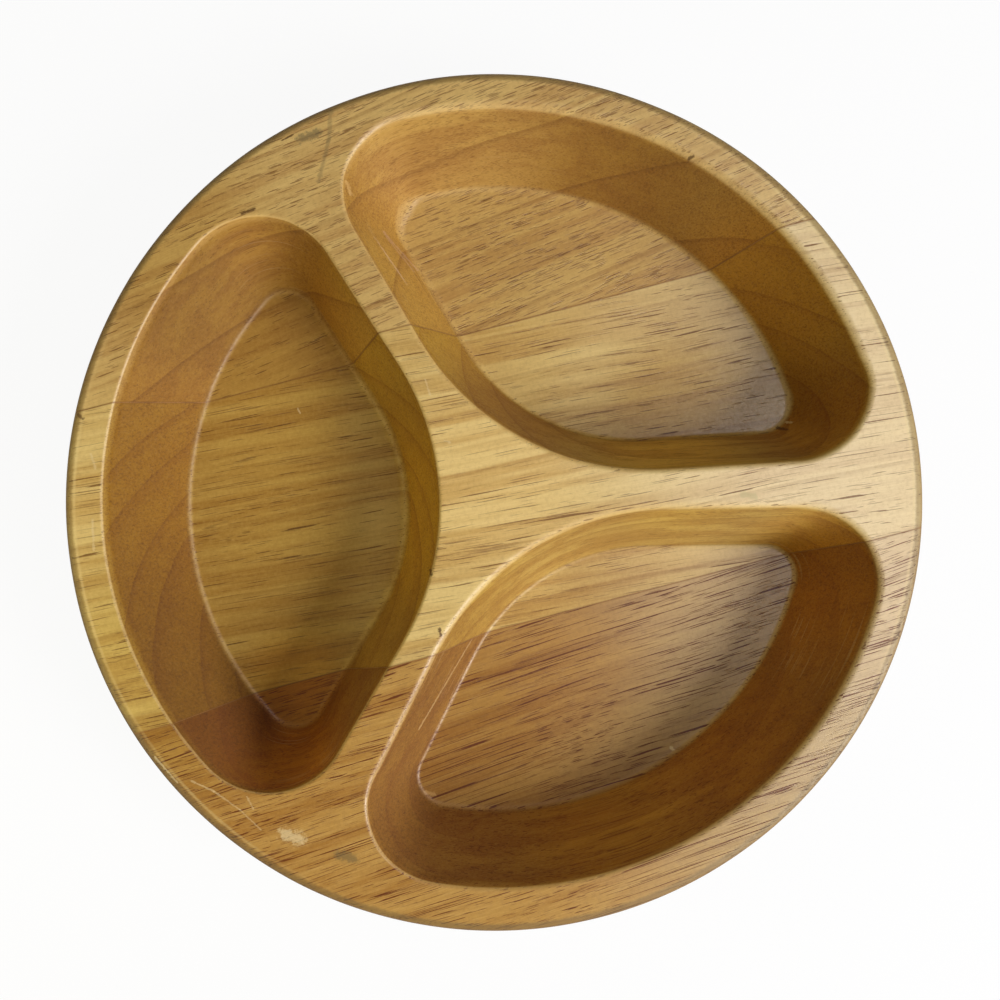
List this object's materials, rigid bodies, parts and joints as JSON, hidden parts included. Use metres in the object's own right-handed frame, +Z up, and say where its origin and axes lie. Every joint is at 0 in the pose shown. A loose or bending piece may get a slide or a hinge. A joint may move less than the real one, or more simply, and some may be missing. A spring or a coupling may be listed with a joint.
{
  "type": "divided serving bowl",
  "caption": "Round wooden serving bowl with a flat rim, a curved outer wall and separate rounded triangular wells for different foods, cut into edge-glued boards.",
  "frame": {"origin": "centre of the flat base, on the surface that the bowl stands on", "axes": "+Z up through the rim, +X to the right and +Y to the back as the bowl is seen from above in the picture; the flat-sided well lies towards -X"},
  "size_m": [0.3048, 0.3048, 0.0508],
  "materials": {
    "back_wood": "satin clear lacquer",
    "middle_wood": "satin clear lacquer",
    "front_wood": "satin clear lacquer",
    "glue": "dried clear wood glue under lacquer"
  },
  "bodies": {
    "root": {"back_board": "back_wood", "middle_board": "middle_wood", "front_board": "front_wood", "back_glue_line": "glue", "front_glue_line": "glue"}
  },
  "joints": []
}
